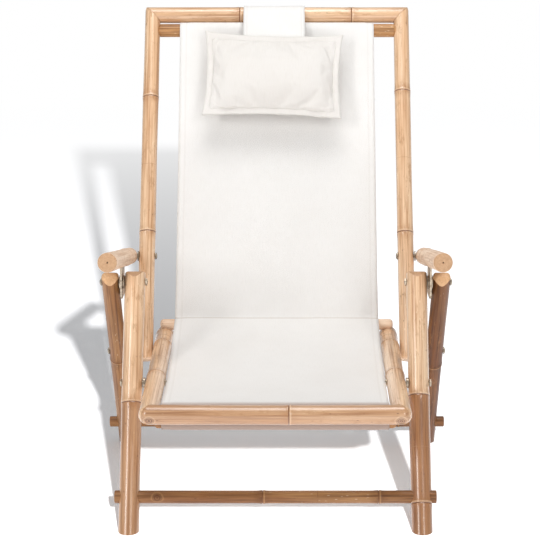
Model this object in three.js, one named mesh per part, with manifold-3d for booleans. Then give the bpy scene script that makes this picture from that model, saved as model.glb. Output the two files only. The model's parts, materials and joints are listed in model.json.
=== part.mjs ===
// Bamboo folding recliner with a canvas sling, in millimetres.
// +X is the chair's left to right as seen from the front, +Y points to the back, +Z is up.
// The origin is on the floor, at the middle of the chair's bounding box.

import * as THREE from 'three';
import { mergeVertices } from 'three/addons/utils/BufferGeometryUtils.js';
import Module from 'manifold-3d';

const wasm = await Module();
wasm.setup();

// Side view: leg bolt, seat bolt and the parallelogram that they carry
const legBoltHeight = 354;
const legBoltSetback = 205;
const seatBoltHeight = 207;
const linkRun = 181.5;
const linkRise = 2.5;
const stileReach = 629;
const stileTail = 17;
const railFrontReach = 142;
const railRearReach = 255;
const railRise = 14.25;
const armrestReach = 366;
const armrestRise = 72.5;
const armrestTail = 14;

// Pole radii, at the lower or front end and at the other end
const frontLegFootRadius = 16.4;
const frontLegTopRadius = 17;
const rearLegFootRadius = 14.6;
const rearLegTopRadius = 14.4;
const stileFootRadius = 14.2;
const stileTopRadius = 13.8;
const topRailRadius = 14.3;
const railRadius = 15.5;
const frontRailRadius = 15.3;
const armrestFrontRadius = 15.2;
const armrestRearRadius = 14.6;

// Half spacings across the chair, to each pole's centre line, from the gaps in which the washers sit
const railOffset = 194.8;
const seatJointGap = 4;
const backJointGap = 1.2;
const legJointGap = 9.1;
const armrestJointGap = 2.7;
const frontLegOffset = railOffset + railRadius + seatJointGap + frontLegTopRadius;
const rearLegOffset = frontLegOffset + frontLegTopRadius + legJointGap + rearLegTopRadius;
const stileOffset = railOffset + railRadius + backJointGap + stileFootRadius;
const armrestOffset = stileOffset + stileFootRadius + armrestJointGap + armrestRearRadius;

// Cross members
const frontBarRadius = 10.2;
const frontBarStub = 6.7;
const frontBarLength = (frontLegOffset + frontLegTopRadius + frontBarStub) * 2;
const frontBarUp = 54;
const rearBarRadius = 9.5;
const rearBarStub = 13.8;
const rearBarLength = (rearLegOffset + rearLegTopRadius + rearBarStub) * 2;
const rearBarUp = 55.5;
const topRodRadius = 11.8;
const topRodOffset = 30.5;
const rearRodRadius = 9.5;
const rearRodInset = 14;
const rearRodLift = 20;
const frontRodRadius = 8;
const frontRodLength = 376;
const frontRodSetback = 25;

// Bamboo: height and half width of a node's ring, and the bevel on a cut end
const ringHeight = 0.8;
const ringHalfWidth = 3.5;
const endBevel = 3;
const frontLegRound = 18;
const rearLegRound = 15.5;
const domeBevel = 8;
const barBevel = 2.5;
const rodBevel = 1;
const mitreRound = 5;
const pithRadius = 1.6;
const pithDepth = 6;

// Where the bamboo's rings fall, from the lower or front end of each pole
const frontLegRings = { left: [205], right: [42.6, 217.4] };
const rearLegRings = { left: [191], right: [204] };
const stileRings = { left: [213, 466.7], right: [212, 478] };
const railRings = { left: [160, 317, 372], right: [168, 316, 366] };
const frontBarRingShares = [0.12, 0.46, 0.82];
const rearBarRingShares = [0.2, 0.55, 0.86];
const topRailRingShares = [0.35, 0.8];
const topRodRingShare = 0.45;
const frontRailRing = 21;
const armrestRing = 293;

// Hardware
const boltRadius = 3;
const headRadius = 6.2;
const headHeight = 2.4;
const headCrownShare = 1.25;
const washerRadius = 8.5;
const legWasherRadius = 11;
const boltStub = 1;
const strapThickness = 3;
const strapGap = 0.3;
const strapBelowBolt = 25;
const strapFrontReach = 27;
const strapRearReach = 27;
const strapCorner = 9;
const strapInset = 6;
const slotClearance = 0.4;
const seatClearance = 0.9;
const reclineDegrees = 6;
const spacerRadius = 7;
const spacerGap = 0.5;

// Cloth
const canvasEdgeGap = 6.3;
const canvasWidth = (railOffset - railRadius - canvasEdgeGap) * 2;
const canvasThickness = 2.4;
const canvasLift = 0.4;
const seatSag = 16;
const backSag = 6;
const panelGap = 0.5;
const panelSplitLength = 20.2;
const pillowWidth = 252;
const pillowHeight = 170;
const pillowThickness = 44;
const pillowHangLength = 90;
const pillowEdge = 2.6;
const pillowFlangeShare = 0.07;
const pillowDrawnIn = 7;
const strapWidth = 110;
const bandThickness = 2.4;
const bandBackLength = 90;
const bandBackLean = 5;
const pillowGap = 1;
const bandEndGap = 0.9;
const pillowColumns = 22;
const pillowRows = 16;

// Angles at which the sling meets and leaves its rods, and the points drawn along it
const topWrapBackDegrees = 200;
const quarterTurnDegrees = 90;
const rearWrapFromDegrees = 72;
const rearWrapToDegrees = 100;
const frontWrapFromDegrees = 178;
const frontWrapToDegrees = 400;
const frontTuckShare = 0.55;
const wrapSteps = 10;
const rearWrapSteps = 3;
const backSteps = 8;
const seatSteps = 10;

// One clearance for every seat, hole and cope, and one overrun for every cut
const clearance = 0.3;
const overrun = 40;

const cutBlock = 160;
const weldTolerance = 0.0001;

const poleSides = 20;
const smallSides = 16;
const nutSides = 6;
const pithSides = 8;
const curveSteps = 6;
const slotSteps = 12;
const roundSteps = 16;
const coordinates = 3;
const ringShares = [-1, 0, 1];

const bambooMaterial = (colour) => new THREE.MeshStandardMaterial({
  color: colour, roughness: 0.38, metalness: 0,
});
const paleBamboo = 0xdeb287;
const brownBamboo = 0xb98d5e;
const steel = () => new THREE.MeshStandardMaterial({ color: 0x6a655f, roughness: 0.35, metalness: 1 });
const canvas = () => new THREE.MeshStandardMaterial({ color: 0xf0ede8, roughness: 0.95, metalness: 0 });

// Points of the side view, as y and z
const point = (y, z) => new THREE.Vector2(y, z);
const frontFoot = point(0, 0);
const legBolt = point(legBoltSetback, legBoltHeight);
const seatBolt = point(legBoltSetback * seatBoltHeight / legBoltHeight, seatBoltHeight);
const link = point(linkRun, linkRise);
const backBolt = seatBolt.clone().add(link);
const armrestBolt = legBolt.clone().add(link);
const rearLegSlope = (backBolt.x - legBolt.x) / (legBolt.y - backBolt.y);
const rearFoot = point(legBolt.x + rearLegSlope * legBolt.y, 0);
const legDirection = legBolt.clone().sub(seatBolt).normalize();
const rearLegDirection = rearFoot.clone().sub(legBolt).normalize();
const along = (start, direction, reach) => start.clone().addScaledVector(direction, reach);
const legDegrees = THREE.MathUtils.radToDeg(legDirection.angle());
const stileTop = along(backBolt, legDirection, stileReach);
const stileFoot = along(backBolt, legDirection, -stileTail);
const railDirection = point(railRearReach, railRise).normalize();
const railFront = along(seatBolt, railDirection, -railFrontReach);
const railRear = along(seatBolt, railDirection, railRearReach);
const armrestFront = armrestBolt.clone().add(point(-armrestReach, armrestRise));
const armrestDirection = armrestBolt.clone().sub(armrestFront).normalize();
const armrestRear = along(armrestBolt, armrestDirection, armrestTail);

// Points along an arc of the side view
const arcLine = (centre, radius, fromDegrees, toDegrees, steps) => {
  const spots = [];
  for (let step = 0; step <= steps; step += 1) {
    const angle = THREE.MathUtils.degToRad(fromDegrees + (toDegrees - fromDegrees) * step / steps);
    spots.push(along(centre, point(Math.cos(angle), Math.sin(angle)), radius));
  }
  return spots;
};

// Groups, one for each frame of the chair
const frames = {};
const chair = new THREE.Group();
for (const title of ['front_leg_frame', 'rear_leg_frame', 'seat_frame', 'back_frame', 'armrests', 'hardware']) {
  frames[title] = new THREE.Group();
  frames[title].name = title;
  chair.add(frames[title]);
}

const toSolid = (geometry, matrix) => {
  let plain = geometry.clone();
  plain.deleteAttribute('normal');
  plain.deleteAttribute('uv');
  plain.applyMatrix4(matrix);
  plain = mergeVertices(plain, weldTolerance);
  return new wasm.Manifold(new wasm.Mesh({
    numProp: coordinates,
    vertProperties: new Float32Array(plain.attributes.position.array),
    triVerts: new Uint32Array(plain.index.array),
  }));
};

const toGeometry = (solid) => {
  const mesh = solid.getMesh();
  const geometry = new THREE.BufferGeometry();
  const spots = new Float32Array(mesh.vertProperties);
  geometry.setAttribute('position', new THREE.BufferAttribute(spots, coordinates));
  geometry.setIndex(new THREE.BufferAttribute(new Uint32Array(mesh.triVerts), 1));
  geometry.computeVertexNormals();
  return geometry;
};

// Cuts the tools out of a mesh, in the mesh's own frame
const cut = (mesh, tools) => {
  mesh.updateMatrix();
  let solid = toSolid(mesh.geometry, new THREE.Matrix4());
  const home = mesh.matrix.clone().invert();
  for (const tool of tools) {
    tool.updateMatrix();
    solid = solid.subtract(toSolid(tool.geometry, home.clone().multiply(tool.matrix)));
  }
  mesh.geometry = toGeometry(solid);
  return mesh;
};

const join = (mesh, other) => {
  mesh.updateMatrix();
  other.updateMatrix();
  const home = mesh.matrix.clone().invert();
  const solid = toSolid(mesh.geometry, new THREE.Matrix4());
  mesh.geometry = toGeometry(solid.add(toSolid(other.geometry, home.multiply(other.matrix))));
  return mesh;
};

// A solid of revolution that stands at start and runs towards end
const turned = (start, end, profile, sides, material) => {
  const geometry = new THREE.LatheGeometry(profile, sides);
  const mesh = new THREE.Mesh(geometry, material);
  const direction = end.clone().sub(start).normalize();
  mesh.quaternion.setFromUnitVectors(new THREE.Vector3(0, 1, 0), direction);
  mesh.position.copy(start);
  return mesh;
};

// A bamboo pole: a slow taper, a bevel at each end and a raised ring at each node
const pole = (start, end, startRadius, endRadius, rings, colour, bevels = [endBevel, endBevel]) => {
  const length = start.distanceTo(end);
  const radiusAt = (reach) => startRadius + (endRadius - startRadius) * reach / length;
  const profile = [new THREE.Vector2(0, 0), new THREE.Vector2(startRadius - bevels[0], 0)];
  profile.push(new THREE.Vector2(radiusAt(bevels[0]), bevels[0]));
  for (const ring of rings) {
    for (const share of ringShares) {
      const reach = ring + share * ringHalfWidth;
      profile.push(new THREE.Vector2(radiusAt(reach) + (share === 0 ? ringHeight : 0), reach));
    }
  }
  profile.push(new THREE.Vector2(radiusAt(length - bevels[1]), length - bevels[1]));
  profile.push(new THREE.Vector2(endRadius - bevels[1], length), new THREE.Vector2(0, length));
  return turned(start, end, profile, poleSides, bambooMaterial(colour));
};

const rod = (start, end, radius, sides = smallSides, material = steel()) => {
  const length = start.distanceTo(end);
  const profile = [[0, 0], [radius, 0], [radius, length], [0, length]].map(([r, h]) => new THREE.Vector2(r, h));
  return turned(start, end, profile, sides, material);
};

const at = (x, place) => new THREE.Vector3(x, place.x, place.y);
const across = (side, inner, outer, place, radius, sides) =>
  rod(at(side * inner, place), at(side * outer, place), radius, sides);

const place = (frame, name, mesh) => {
  mesh.name = name;
  frames[frame].add(mesh);
  return mesh;
};

const sides = [['left', -1], ['right', 1]];
const floorBlock = (y) => {
  const block = new THREE.Mesh(new THREE.BoxGeometry(cutBlock, cutBlock, cutBlock));
  block.position.set(0, y, -cutBlock / 2);
  return block;
};

// A plate drawn in the side view, as thick as stated, centred on an offset across the chair
const sidePlate = (shape, centre, thickness, material) => {
  const geometry = new THREE.ExtrudeGeometry(
    shape, { depth: thickness, bevelEnabled: false, curveSegments: curveSteps });
  geometry.translate(0, 0, -thickness / 2);
  const mesh = new THREE.Mesh(geometry, material);
  const toSide = new THREE.Matrix4().makeBasis(
    new THREE.Vector3(0, 1, 0), new THREE.Vector3(0, 0, 1), new THREE.Vector3(1, 0, 0));
  mesh.quaternion.setFromRotationMatrix(toSide);
  mesh.position.x = centre;
  return mesh;
};
// What is cut away to leave a leg's top half round about the leg bolt
const roundEnd = (side, offset, degrees, radius) => {
  const arc = arcLine(
    legBolt, radius, degrees - quarterTurnDegrees, degrees + quarterTurnDegrees, roundSteps);
  const away = along(point(0, 0), legBolt.clone().sub(arc[roundSteps / 2]).normalize(), -overrun);
  const corners = [arc[roundSteps].clone().add(away), arc[0].clone().add(away)];
  return sidePlate(new THREE.Shape([...arc, ...corners]), side * offset, cutBlock);
};

// Cross members of the two leg frames
const frontBarPlace = along(frontFoot, legDirection, frontBarUp);
const rearBarPlace = along(rearFoot, rearLegDirection, -rearBarUp);
const crossBar = (span, barPlace, radius, ringShares, colour) => pole(
  at(-span / 2, barPlace), at(span / 2, barPlace), radius, radius,
  ringShares.map((share) => share * span), colour, [barBevel, barBevel]);
place('front_leg_frame', 'front_crossbar',
  crossBar(frontBarLength, frontBarPlace, frontBarRadius, frontBarRingShares, brownBamboo));
place('rear_leg_frame', 'rear_crossbar',
  crossBar(rearBarLength, rearBarPlace, rearBarRadius, rearBarRingShares, brownBamboo));
const barHole = (span, barPlace, radius) =>
  rod(at(-span, barPlace), at(span, barPlace), radius + clearance, poleSides);
const boltHole = (side, offset, holePlace) =>
  across(side, offset - overrun, offset + overrun, holePlace, boltRadius + clearance);

// Legs, cut level at the floor
const frontLegLength = legBolt.length() + frontLegRound;
const legStart = along(frontFoot, legDirection, -overrun);
const rearLegDegrees = THREE.MathUtils.radToDeg(rearLegDirection.clone().negate().angle());
for (const [title, side] of sides) {
  const frontLeg = pole(
    at(side * frontLegOffset, legStart),
    at(side * frontLegOffset, along(frontFoot, legDirection, frontLegLength)),
    frontLegFootRadius, frontLegTopRadius, frontLegRings[title].map((reach) => reach + overrun),
    paleBamboo);
  const footCut = floorBlock(frontFoot.x);
  footCut.position.x = side * frontLegOffset;
  cut(frontLeg, [
    footCut, roundEnd(side, frontLegOffset, legDegrees, frontLegRound),
    barHole(frontBarLength, frontBarPlace, frontBarRadius),
    boltHole(side, frontLegOffset, legBolt), boltHole(side, frontLegOffset, seatBolt)]);
  place('front_leg_frame', `front_leg_${title}`, frontLeg);

  const rearLegTop = along(legBolt, rearLegDirection, -rearLegRound);
  const rearLeg = pole(
    at(side * rearLegOffset, rearLegTop),
    at(side * rearLegOffset, along(rearFoot, rearLegDirection, overrun)),
    rearLegTopRadius, rearLegFootRadius, rearLegRings[title].map((reach) => reach + rearLegRound), brownBamboo);
  const rearFootCut = floorBlock(rearFoot.x);
  rearFootCut.position.x = side * rearLegOffset;
  cut(rearLeg, [
    rearFootCut, roundEnd(side, rearLegOffset, rearLegDegrees, rearLegRound),
    barHole(rearBarLength, rearBarPlace, rearBarRadius),
    boltHole(side, rearLegOffset, legBolt), boltHole(side, rearLegOffset, backBolt)]);
  place('rear_leg_frame', `rear_leg_${title}`, rearLeg);
}

// A round frame corner: both poles end on the plane that halves the corner
const mitreBlock = (corner, side, inward, keepRail) => {
  const block = new THREE.Mesh(new THREE.BoxGeometry(cutBlock, cutBlock, cutBlock));
  const acrossAxis = new THREE.Vector3(side, 0, 0);
  const outAxis = new THREE.Vector3(0, inward.x, inward.y).normalize().negate();
  const normal = acrossAxis.clone().sub(outAxis).normalize();
  if (!keepRail) {
    normal.negate();
  }
  block.quaternion.setFromUnitVectors(new THREE.Vector3(0, 0, 1), normal);
  block.position.copy(corner).addScaledVector(normal, (cutBlock - clearance) / 2);
  return block;
};

// Back frame: stiles, mitred top rail and the rod that holds the sling's upper end
const topRodPlace = along(stileTop, legDirection, -topRodOffset);
const topRail = pole(
  at(-stileOffset - topRailRadius, stileTop), at(stileOffset + topRailRadius, stileTop),
  topRailRadius, topRailRadius, topRailRingShares.map((share) => share * stileOffset * 2),
  paleBamboo, [mitreRound, mitreRound]);
const stileDown = legDirection.clone().negate();
cut(topRail, sides.map(([, side]) => mitreBlock(at(side * stileOffset, stileTop), side, stileDown, true)));
place('back_frame', 'back_top_rail', topRail);
for (const [title, side] of sides) {
  const start = at(side * stileOffset, stileFoot);
  const stile = pole(
    start, at(side * stileOffset, along(stileTop, legDirection, topRailRadius)),
    stileFootRadius, stileTopRadius, stileRings[title].map((reach) => reach + stileTail),
    paleBamboo, [endBevel, mitreRound]);
  cut(stile, [mitreBlock(at(side * stileOffset, stileTop), side, stileDown, false),
    boltHole(side, stileOffset, backBolt), boltHole(side, stileOffset, armrestBolt)]);
  place('back_frame', `back_stile_${title}`, stile);
}
// A rod between two side poles, its ends coped to them
const copedRod = (half, rodPlace, radius, sidePoles, colour) => {
  const piece = pole(at(-half, rodPlace), at(half, rodPlace), radius, radius,
    [half * 2 * topRodRingShare], colour, [rodBevel, rodBevel]);
  return cut(piece, sidePoles);
};
const stileSleeve = (side) => rod(
  at(side * stileOffset, stileFoot), at(side * stileOffset, along(stileTop, legDirection, overrun)),
  stileFootRadius + ringHeight + clearance, poleSides);
place('back_frame', 'canvas_top_rod', copedRod(
  stileOffset - stileFootRadius / 2, topRodPlace, topRodRadius,
  [stileSleeve(-1), stileSleeve(1)], brownBamboo));

// Seat frame: side rails, mitred front rail, the rear rod the sling turns on and the front rod
const frontRail = pole(
  at(-railOffset - railRadius, railFront), at(railOffset + railRadius, railFront),
  frontRailRadius, frontRailRadius, [railOffset + railRadius + frontRailRing],
  paleBamboo, [mitreRound, mitreRound]);
cut(frontRail, sides.map(([, side]) => mitreBlock(
  at(side * railOffset, railFront), side, railDirection, true)));
place('seat_frame', 'seat_front_rail', frontRail);
const railUp = point(-railDirection.y, railDirection.x);
const rearRodPlace = along(along(railRear, railDirection, -rearRodInset), railUp, rearRodLift);
const frontRodPlace = along(along(railFront, railDirection, frontRodSetback), railUp,
  -(railRadius + frontRodRadius + clearance));
for (const [title, side] of sides) {
  const rail = pole(
    at(side * railOffset, along(railFront, railDirection, -railRadius)), at(side * railOffset, railRear),
    railRadius, railRadius, railRings[title].map((reach) => reach + railRadius),
    paleBamboo, [mitreRound, domeBevel]);
  cut(rail, [mitreBlock(at(side * railOffset, railFront), side, railDirection, false),
    boltHole(side, railOffset, seatBolt), boltHole(side, railOffset, backBolt)]);
  cut(rail, [rod(at(-railOffset - overrun, rearRodPlace), at(railOffset + overrun, rearRodPlace),
    rearRodRadius + clearance, poleSides)]);
  place('seat_frame', `seat_rail_${title}`, rail);
}
place('seat_frame', 'seat_rear_rod', pole(
  at(-railOffset - railRadius / 2, rearRodPlace), at(railOffset + railRadius / 2, rearRodPlace),
  rearRodRadius, rearRodRadius, [], brownBamboo, [rodBevel, rodBevel]));
place('seat_frame', 'seat_front_rod', pole(
  at(-frontRodLength / 2, frontRodPlace), at(frontRodLength / 2, frontRodPlace),
  frontRodRadius, frontRodRadius, [], brownBamboo, [rodBevel, rodBevel]));

// Armrests: a bevelled front end with its pith hole, a domed rear end and a saw slot for the strap
const strapOffset = (frontLegOffset + frontLegTopRadius + rearLegOffset - rearLegTopRadius) / 2;
const armrestUp = point(-armrestDirection.y, armrestDirection.x);
const strapTopReach = (reach) => {
  const base = along(armrestFront, armrestDirection, reach);
  return along(base, armrestUp, strapInset - armrestFrontRadius);
};
const boltReach = legBolt.clone().sub(armrestFront).dot(armrestDirection);
const plateShape = (grow) => {
  const front = strapTopReach(boltReach - strapFrontReach - grow);
  const rear = strapTopReach(boltReach + strapRearReach + grow);
  const bottom = legBolt.y - strapBelowBolt;
  const shape = new THREE.Shape();
  shape.moveTo(front.x, front.y + grow);
  shape.lineTo(front.x, bottom + strapCorner);
  shape.quadraticCurveTo(front.x, bottom, front.x + strapCorner, bottom);
  shape.lineTo(rear.x - strapCorner, bottom);
  shape.quadraticCurveTo(rear.x, bottom, rear.x, bottom + strapCorner);
  shape.lineTo(rear.x, rear.y + grow);
  shape.closePath();
  return shape;
};
// The slot follows the arc that the leg bolt takes in the strap while the back reclines;
// it has a seat for the bolt at its middle and at both ends
const slotTools = (side) => {
  const arm = legBolt.clone().sub(seatBolt);
  const centre = legBolt.clone().add(arm);
  const from = legDegrees - quarterTurnDegrees * 2 - reclineDegrees;
  const to = from + reclineDegrees * 2;
  const halfWidth = boltRadius + slotClearance;
  const outline = [
    ...arcLine(centre, arm.length() + halfWidth, from, to, slotSteps),
    ...arcLine(centre, arm.length() - halfWidth, to, from, slotSteps)];
  const seats = arcLine(centre, arm.length(), from, to, 2).map((spot) => across(
    side, strapOffset - overrun, strapOffset + overrun, spot, boltRadius + seatClearance));
  return [sidePlate(new THREE.Shape(outline), side * strapOffset, strapThickness * 2), ...seats];
};
for (const [title, side] of sides) {
  const start = at(side * armrestOffset, armrestFront);
  const armrest = pole(start, at(side * armrestOffset, armrestRear),
    armrestFrontRadius, armrestRearRadius, [armrestRing], paleBamboo, [endBevel, domeBevel]);
  const pithEnd = along(armrestFront, armrestDirection, pithDepth);
  const pithStart = along(armrestFront, armrestDirection, -pithDepth);
  const slot = sidePlate(plateShape(clearance), side * strapOffset, strapThickness + 2 * clearance);
  cut(armrest, [slot, boltHole(side, armrestOffset, armrestBolt),
    rod(at(side * armrestOffset, pithStart), at(side * armrestOffset, pithEnd), pithRadius, pithSides)]);
  place('armrests', `armrest_${title}`, armrest);
  const strap = sidePlate(plateShape(0), side * strapOffset, strapThickness, steel());
  place('armrests', `armrest_strap_${title}`, cut(strap, slotTools(side)));
}

const headSink = headHeight / 4;
// Bolts run across the chair; each has a domed head at one end and a nut at the other
const headed = (side, inner, outer, boltPlace, headInside) => {
  const bolt = across(side, inner, outer, boltPlace, boltRadius);
  const start = headInside ? inner + headSink : outer - headSink;
  const end = headInside ? start - headHeight : start + headHeight;
  const profile = [[0, 0], [headRadius, 0], [headRadius, headHeight / 2],
    [headRadius / 2, headHeight * headCrownShare], [0, headHeight * headCrownShare]];
  const head = turned(at(side * start, boltPlace), at(side * end, boltPlace),
    profile.map(([r, h]) => new THREE.Vector2(r, h)), smallSides, steel());
  return join(bolt, head);
};
const nut = (side, start, nutPlace, outward) => {
  const end = start + outward * headHeight;
  const body = across(side, start, end, nutPlace, headRadius, nutSides);
  return cut(body, [across(side, start - overrun, start + overrun, nutPlace, boltRadius + clearance)]);
};
const washer = (side, start, end, washerPlace, radius) => cut(
  across(side, start, end, washerPlace, radius),
  [across(side, start - overrun, end + overrun, washerPlace, boltRadius + clearance)]);
const seat = clearance;
const headSeat = headSink + seat;
for (const [title, side] of sides) {
  const frontInner = frontLegOffset - frontLegTopRadius;
  const frontOuter = frontLegOffset + frontLegTopRadius;
  const rearInner = rearLegOffset - rearLegTopRadius;
  const rearOuter = rearLegOffset + rearLegTopRadius;
  const strapInner = strapOffset - strapThickness / 2;
  const strapOuter = strapOffset + strapThickness / 2;
  // Leg bolt: rear leg, washer, strap, washer, front leg, nut
  place('hardware', `leg_bolt_${title}`,
    headed(side, frontInner - headHeight - boltStub, rearOuter + headSeat, legBolt, false));
  place('hardware', `leg_nut_${title}`, nut(side, frontInner - seat, legBolt, -1));
  place('hardware', `leg_washer_inner_${title}`,
    washer(side, frontOuter + seat, strapInner - strapGap, legBolt, legWasherRadius));
  place('hardware', `leg_washer_outer_${title}`,
    washer(side, strapOuter + strapGap, rearInner - seat, legBolt, legWasherRadius));

  // Armrest bolt: armrest, washer, stile, nut
  const stileInner = stileOffset - stileFootRadius;
  const stileOuter = stileOffset + stileFootRadius;
  const armrestInner = armrestOffset - armrestRearRadius;
  const armrestOuter = armrestOffset + armrestRearRadius;
  place('hardware', `armrest_bolt_${title}`,
    headed(side, stileInner - headSeat, armrestOuter - domeBevel, armrestBolt, true));
  place('hardware', `armrest_washer_${title}`,
    washer(side, stileOuter + seat, armrestInner - seat, armrestBolt, washerRadius));

  // Seat bolt: rail, washer, front leg, nut
  const railInner = railOffset - railRadius;
  const railOuter = railOffset + railRadius;
  place('hardware', `seat_bolt_${title}`,
    headed(side, railInner - headSeat, frontOuter + headHeight + boltStub, seatBolt, true));
  place('hardware', `seat_nut_${title}`, nut(side, frontOuter + seat, seatBolt, 1));
  place('hardware', `seat_washer_${title}`,
    washer(side, railOuter + seat, frontInner - seat, seatBolt, washerRadius));

  // Back bolt: seat rail and stile; the rear leg's own bolt carries the spacer that meets the stile
  place('hardware', `back_bolt_${title}`,
    headed(side, railInner - headSeat, stileOuter, backBolt, true));
  const spacerInner = stileOuter + spacerGap;
  place('hardware', `rear_leg_bolt_${title}`,
    headed(side, spacerInner + headHeight, rearOuter + headSeat, backBolt, false));
  place('hardware', `rear_leg_spacer_${title}`,
    washer(side, spacerInner, rearInner - seat, backBolt, spacerRadius));
}

// A strip of cloth that follows a line in the side view, extruded across the chair
const clothStrip = (line, width, thickness, material) => {
  const upper = [];
  const lower = [];
  line.forEach((spot, index) => {
    const before = line[Math.max(0, index - 1)];
    const after = line[Math.min(line.length - 1, index + 1)];
    const run = after.clone().sub(before).normalize();
    const normal = point(-run.y, run.x);
    upper.push(along(spot, normal, thickness / 2));
    lower.unshift(along(spot, normal, -thickness / 2));
  });
  return sidePlate(new THREE.Shape([...upper, ...lower]), 0, width, material);
};
const sagLine = (start, end, sag, steps) => {
  const run = end.clone().sub(start).normalize();
  const down = point(-run.y, run.x);
  const spots = [];
  for (let step = 1; step < steps; step += 1) {
    const share = step / steps;
    const spot = start.clone().lerp(end, share);
    spots.push(along(spot, down, sag * 4 * share * (1 - share)));
  }
  return spots;
};
const wrap = (radius) => radius + canvasLift + canvasThickness / 2;
const backTopLine = arcLine(topRodPlace, wrap(topRodRadius + ringHeight), 
  legDegrees - topWrapBackDegrees, legDegrees + quarterTurnDegrees, wrapSteps);
const rearWrapRadius = wrap(rearRodRadius);
const backLower = arcLine(
  rearRodPlace, rearWrapRadius, rearWrapFromDegrees, rearWrapToDegrees, rearWrapSteps)[0];
const splitRun = backLower.clone().sub(backTopLine[wrapSteps]).normalize();
const splitPlace = along(backLower, splitRun, -panelSplitLength);
const backPanelEnd = along(splitPlace, splitRun, -panelGap);
place('back_frame', 'canvas_back', clothStrip(
  [...backTopLine, ...sagLine(backTopLine[wrapSteps], backPanelEnd, backSag, backSteps), backPanelEnd],
  canvasWidth, canvasThickness, canvas()));
const rearWrap = arcLine(
  rearRodPlace, rearWrapRadius, rearWrapFromDegrees, rearWrapToDegrees, rearWrapSteps);
const frontWrapRadius = wrap(frontRodRadius);
const frontTuckReach = frontRailRadius + canvasLift * 2 + canvasThickness;
const frontTuck = along(
  along(railFront, railDirection, frontTuckReach), railUp, frontRailRadius * frontTuckShare);
const frontWrap = arcLine(frontRodPlace, frontWrapRadius, frontWrapFromDegrees, frontWrapToDegrees, wrapSteps);
place('seat_frame', 'canvas_seat', clothStrip(
  [splitPlace, ...rearWrap, ...sagLine(rearWrap[rearWrapSteps], frontTuck, seatSag, seatSteps),
    frontTuck, ...frontWrap],
  canvasWidth, canvasThickness, canvas()));

// Pillow: crowned on both faces, drawn in along its sides, with a flat sewn flange
const pillow = () => {
  const columns = pillowColumns;
  const rows = pillowRows;
  const positions = [];
  const faces = [];
  const ease = (share) => Math.sin(Math.min(1, Math.max(0, share)) * Math.PI / 2);
  const crown = (u, v) => {
    const edgeU = (1 - Math.abs(u) - pillowFlangeShare) / (1 - pillowFlangeShare);
    const edgeV = (1 - Math.abs(v) - pillowFlangeShare) / (1 - pillowFlangeShare);
    return pillowEdge / 2 + (pillowThickness - pillowEdge) / 2 * Math.sqrt(ease(edgeU) * ease(edgeV));
  };
  for (const face of [1, -1]) {
    for (let row = 0; row <= rows; row += 1) {
      for (let column = 0; column <= columns; column += 1) {
        const u = -1 + 2 * column / columns;
        const v = -1 + 2 * row / rows;
        const x = u * (pillowWidth / 2 - pillowDrawnIn * (1 - v * v));
        const y = v * (pillowHeight / 2 - pillowDrawnIn * (1 - u * u));
        positions.push(x, y, face * crown(u, v));
      }
    }
  }
  const stride = columns + 1;
  const sheet = stride * (rows + 1);
  const quad = (a, b, c, d) => faces.push(a, b, c, a, c, d);
  for (let row = 0; row < rows; row += 1) {
    for (let column = 0; column < columns; column += 1) {
      const corner = row * stride + column;
      quad(corner, corner + 1, corner + stride + 1, corner + stride);
      const under = corner + sheet;
      quad(under, under + stride, under + stride + 1, under + 1);
    }
  }
  const rim = [];
  for (let column = 0; column < columns; column += 1) rim.push(column);
  for (let row = 0; row < rows; row += 1) rim.push(row * stride + columns);
  for (let column = columns; column > 0; column -= 1) rim.push(rows * stride + column);
  for (let row = rows; row > 0; row -= 1) rim.push(row * stride);
  rim.forEach((corner, index) => {
    const next = rim[(index + 1) % rim.length];
    quad(corner, corner + sheet, next + sheet, next);
  });
  const geometry = new THREE.BufferGeometry();
  geometry.setAttribute('position', new THREE.Float32BufferAttribute(positions, coordinates));
  geometry.setIndex(faces);
  geometry.computeVertexNormals();
  const mesh = new THREE.Mesh(geometry, canvas());
  const up = new THREE.Vector3(0, legDirection.x, legDirection.y);
  const outward = new THREE.Vector3(0, -legDirection.y, legDirection.x);
  mesh.quaternion.setFromRotationMatrix(new THREE.Matrix4().makeBasis(new THREE.Vector3(1, 0, 0), up, outward));
  return mesh;
};
const stileUp = point(-legDirection.y, legDirection.x);
const clothFace = wrap(topRodRadius + ringHeight) + canvasThickness / 2;
const pillowPlace = along(along(topRodPlace, legDirection, -pillowHangLength), stileUp,
  clothFace + pillowThickness / 2 + pillowGap);
const cushion = pillow();
cushion.position.copy(at(0, pillowPlace));
place('back_frame', 'pillow', cushion);

// The band that hangs the pillow over the top rail
const bandRadius = topRailRadius + clearance + bandThickness / 2;
const bandShare = strapWidth / pillowWidth;
const bandDrawnIn = pillowDrawnIn * (1 - bandShare * bandShare);
const pillowTop = along(pillowPlace, legDirection, pillowHeight / 2 - bandDrawnIn + bandEndGap);
const bandLoop = arcLine(stileTop, bandRadius, 
  legDegrees + quarterTurnDegrees, legDegrees - quarterTurnDegrees, wrapSteps);
const bandBack = along(along(bandLoop[wrapSteps], legDirection, -bandBackLength), stileUp, -bandBackLean);
place('back_frame', 'pillow_band', clothStrip(
  [pillowTop, ...bandLoop, bandBack], strapWidth, bandThickness, canvas()));

const box = new THREE.Box3().setFromObject(chair, true);
chair.position.set(0, -(box.min.y + box.max.y) / 2, -box.min.z);
chair.updateMatrixWorld(true);

export default chair;
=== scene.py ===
# %% [markdown]
# # A folding recliner of bamboo poles with a canvas sling
# The CAD model gives every pole, bolt and rod its place and its joints. This lesson dresses it:
# the poles get the rings, bow and cut ends of real bamboo, the sling gets its hems, seam and
# soft wrinkles, and the head pillow is blown up by a cloth simulation.

# %% Load the frame and remember its box
import json
import math

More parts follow.
